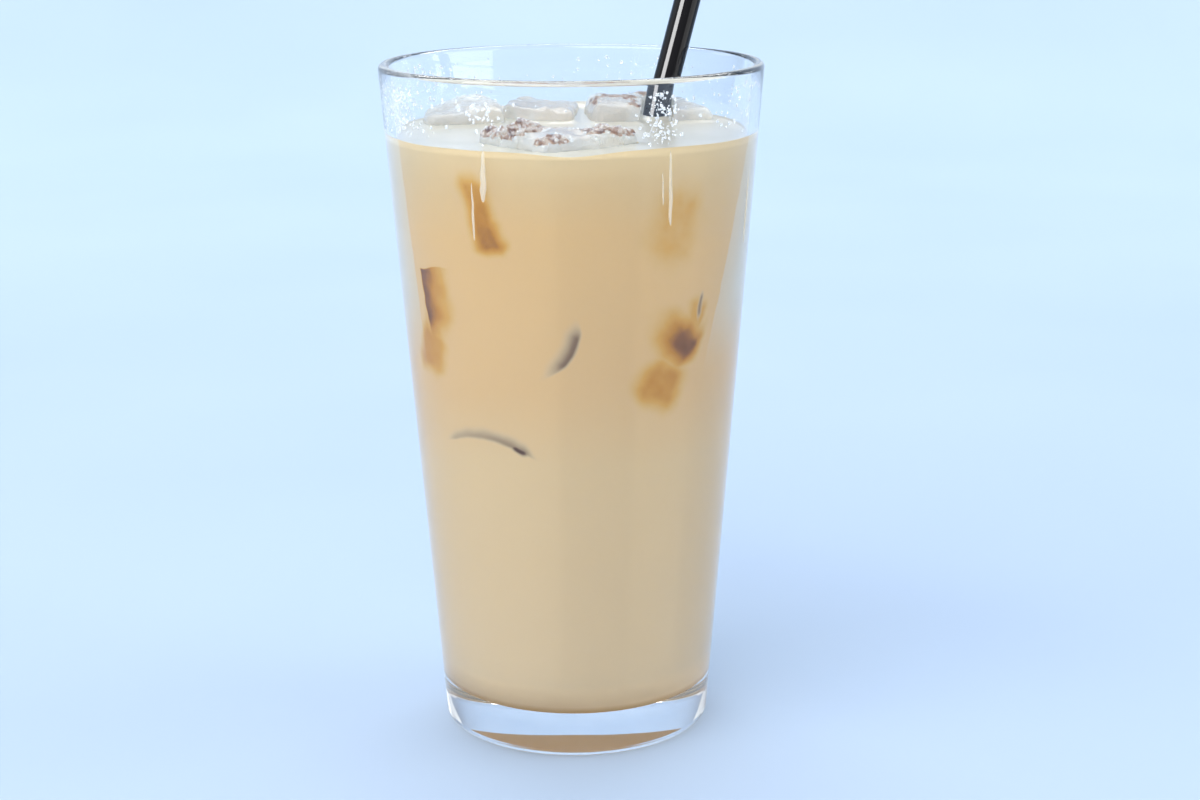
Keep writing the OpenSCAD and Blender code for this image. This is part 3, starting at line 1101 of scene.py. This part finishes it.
def behind_contacts():
    """Place, size and turn of the block behind each contact that has one."""
    places, sizes, turns = [], [], []
    for one in CONTACTS:
        depth, width, tall = (side * MM for side in one["ice"])
        if depth == 0:
            continue
        a = math.radians(one["azimuth"])
        half_width = width / 2
        z = one["height"] * MM
        wall = inner_r(z - tall / 2) - one["gap"] * MM
        face = math.sqrt(wall ** 2 - (0.8 * half_width) ** 2)
        centre = face - depth / 2
        places.append((centre * math.cos(a), centre * math.sin(a), z))
        sizes.append((depth, width, tall))
        turns.append((math.radians(one["turn"]) * 0.3, TILT, a))
    return places, sizes, turns


places, sizes, turns = behind_contacts()
sunken = plain_result(point_cloud("sunken points", places, size=sizes, turn=turns),
                      block_tree(), "ice_sunken", finish=clear_ice)
print("sunken ice faces", len(sunken.data.polygons))
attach(sunken, "root")

# %% [markdown]
# ## Water on the glass
# Cold glass gathers dew. Drops stand on the inner wall above the drink, thickest at the
# left and in front of the straw, and a few long runs have slid down the outside. Drops are
# scattered by nodes: points on a patch of wall, thinned by a value on its vertices, each
# with a flattened ball of its own size.

# %% The drop scatter tree
def drop_tree():
    tree, given, out = new_tree(
        "drops on a surface",
        [("Geometry", "NodeSocketGeometry", None), ("Spacing", "NodeSocketFloat", 0.0004),
         ("Most Per Area", "NodeSocketFloat", 6000000.0), ("Small", "NodeSocketFloat", 0.00012),
         ("Large", "NodeSocketFloat", 0.00045), ("Flatness", "NodeSocketFloat", 0.5),
         ("Seed", "NodeSocketInt", 3), ("Finish", "NodeSocketMaterial", None)],
        [("Geometry", "NodeSocketGeometry")])
    wet = add(tree, "GeometryNodeInputNamedAttribute", {"Name": "wet"}, data_type="FLOAT")
    scatter = add(tree, "GeometryNodeDistributePointsOnFaces",
                  {"Mesh": given["Geometry"], "Distance Min": given["Spacing"],
                   "Density Max": given["Most Per Area"], "Density Factor": wet.outputs[0],
                   "Seed": given["Seed"]}, distribute_method="POISSON")
    ball = add(tree, "GeometryNodeMeshIcoSphere", {"Radius": 1.0, "Subdivisions": 2})
    chance = add(tree, "FunctionNodeRandomValue",
                 {"Min": 0.0, "Max": 1.0, "Seed": given["Seed"]}, data_type="FLOAT")
    chance = calc(tree, "POWER", chance.outputs[1], 2.5)
    radius = ranged(tree, chance, 0.0, 1.0, given["Small"], given["Large"])
    flat = calc(tree, "MULTIPLY", radius, given["Flatness"])
    size = add(tree, "ShaderNodeCombineXYZ", {"X": radius, "Y": radius, "Z": flat}).outputs[0]
    drops = add(tree, "GeometryNodeInstanceOnPoints",
                {"Points": scatter.outputs["Points"], "Instance": ball.outputs["Mesh"],
                 "Rotation": scatter.outputs["Rotation"], "Scale": size}).outputs[0]
    return end_tree(tree, drops, given, out)


DROPS = drop_tree()
water, tree, shader = see_through_finish("dew", (0.97, 0.985, 1.0), 1.33, 0.0,
                                         (0.92, 0.95, 0.97))
shader.inputs["Transmission Weight"].default_value = 0.78
bump(tree, shader, placed(tree, RIPPLE, "Height", scale=900, fine_share=0.0), 0.00004, 0.5)

# %% A patch of the inner wall and how wet it is
DEW_BOTTOM = 136.5 * MM
DEW_TOP = 147.5 * MM
DEW_EVERYWHERE = 0.006
# Each patch: middle and spread in degrees, lower and upper height in millimetres, amount
DEW_PATCHES = [(-158, 12, 137, 146, 0.95), (-118, 5, 141, 146, 0.7), (-62, 4.5, 136.5, 147, 1.0),
               (-30, 16, 138, 148, 0.10), (-140, 22, 143, 146, 0.12), (150, 20, 138, 147, 0.3),
               (60, 30, 140, 148, 0.06)]


def dew_at(azimuth, z):
    """How thickly dew stands on the inner wall, from 0 to 1."""
    dew = DEW_EVERYWHERE
    for middle, spread, low, high, amount in DEW_PATCHES:
        turn_away = (azimuth - middle + 180) % 360 - 180
        inside_height = 1 if low <= z / MM <= high else 0.15
        dew += amount * inside_height * math.exp(-(turn_away / spread) ** 2)
    return min(dew * (0.55 + 1.1 * abs(noise.noise(Vector((azimuth / 9, z / MM / 2.5, 0))))), 1)


def wall_patch(steps=180, rows=12):
    """The inner wall above the drink, its faces turned inwards."""
    points, faces, wet = [], [], []
    for i in range(steps):
        a = math.tau * i / steps
        for j in range(rows):
            z = DEW_BOTTOM + (DEW_TOP - DEW_BOTTOM) * j / (rows - 1)
            points.append((inner_r(z) * math.cos(a), inner_r(z) * math.sin(a), z))
            wet.append(dew_at(math.degrees(a), z))
    for i in range(steps):
        for j in range(rows - 1):
            this, after = i * rows + j, (i + 1) % steps * rows + j
            faces.append((this, this + 1, after + 1, after))
    mesh = bpy.data.meshes.new("wall patch")
    mesh.from_pydata(points, [], faces)
    mesh.attributes.new("wet", "FLOAT", "POINT").data.foreach_set("value", wet)
    return new_object("wall patch", mesh)


dew = plain_result(wall_patch(), DROPS, "dew_drops", spacing=0.0003, small=0.00013,
                   large=0.00046, flatness=0.6, finish=water)
print("dew faces", len(dew.data.polygons))
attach(dew, "root")

# %% [markdown]
# ## Froth on the crushed ice
# Where the crust holds coffee, it also holds air. The same scatter tree sets rounder
# bubbles there, and the stain on each vertex says how many.

# %% Froth on the crushed ice
froth_base = new_object("froth base", floating[-1].data.copy())
stain_values = np.zeros(len(froth_base.data.vertices))
froth_base.data.attributes["stain"].data.foreach_get("value", stain_values)
froth_base.data.attributes.new("wet", "FLOAT", "POINT").data.foreach_set(
    "value", np.clip(stain_values * 1.4 - 0.15, 0, 1) * 0.8)
froth = plain_result(froth_base, DROPS, "froth_bubbles", spacing=0.0003, small=0.00015,
                     large=0.0005, flatness=0.9, seed=8, finish=water)
print("froth faces", len(froth.data.polygons))
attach(froth, "root")

# %% [markdown]
# ## Runs of water
# A few drops have grown heavy and slid down the outside, each leaving a long narrow bead
# that is broadest at its lower end. Each is a stretched ball laid along the wall's cone.

# %% Finish of the runs: water whose part-opaque cream tint is painted highlight
water_with_painted_highlight, tree, shader = see_through_finish("run of water with painted highlight", (0.93, 0.86, 0.72), 1.33,
                                               0.12, (0.9, 0.9, 0.88))
shader.inputs["Transmission Weight"].default_value = 0.6
bump(tree, shader, placed(tree, RIPPLE, "Height", scale=500, fine_share=0.1), 0.0001, 0.5)


# %% Runs of water down the outside
SWAY = 0.2 * MM


def run_of_water(azimuth, top, bottom, lean, width, seed):
    """A narrow bead that has run down the outside of the glass."""
    work = bmesh.new()
    bmesh.ops.create_uvsphere(work, u_segments=16, v_segments=40, radius=1)
    length = top - bottom
    for vert in work.verts:
        share = (vert.co.z + 1) / 2
        z = bottom + length * share
        broad = width * (0.55 + 0.45 * (1 - share) ** 2)
        broad *= 1 + 0.3 * noise.noise(Vector((seed, share * 6, 0)))
        across = vert.co.x * broad
        out = vert.co.y * broad * 0.45
        a = math.radians(azimuth + lean * (1 - share))
        sway = noise.noise(Vector((0, share * 4, seed)))
        a += across / outer_r(z) + SWAY / outer_r(z) * sway
        vert.co = ((outer_r(z) + out) * math.cos(a), (outer_r(z) + out) * math.sin(a), z)
    return work


# Each run: azimuth, top, bottom, how far it leans in degrees, width, lengths in millimetres
RUNS = [(-116.3, 135.7, 124.9, -0.9, 0.95), (-120.8, 128.8, 116.6, -0.3, 0.42),
        (-60.6, 135.2, 119.5, 1.2, 0.62), (-62.8, 131.0, 124.0, 0.5, 0.3),
        (-20, 128, 112, 0.8, 0.5), (95, 133, 118, -1.0, 0.5), (160, 126, 108, 0.9, 0.45)]
joined = bmesh.new()
for seed, (azimuth, top, bottom, lean, width) in enumerate(RUNS):
    bead = run_of_water(azimuth, top * MM, bottom * MM, lean, width * MM, seed)
    mesh = bpy.data.meshes.new("bead")
    bead.to_mesh(mesh)
    joined.from_mesh(mesh)
    bead.free()
    bpy.data.meshes.remove(mesh)
bmesh.ops.recalc_face_normals(joined, faces=joined.faces)
run_mesh = bpy.data.meshes.new("water_runs")
joined.to_mesh(run_mesh)
joined.free()
for face in run_mesh.polygons:
    face.use_smooth = True
run_mesh.materials.append(water_with_painted_highlight)
runs = new_object("water_runs", run_mesh)
print("runs of water", len(RUNS))
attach(runs, "root")
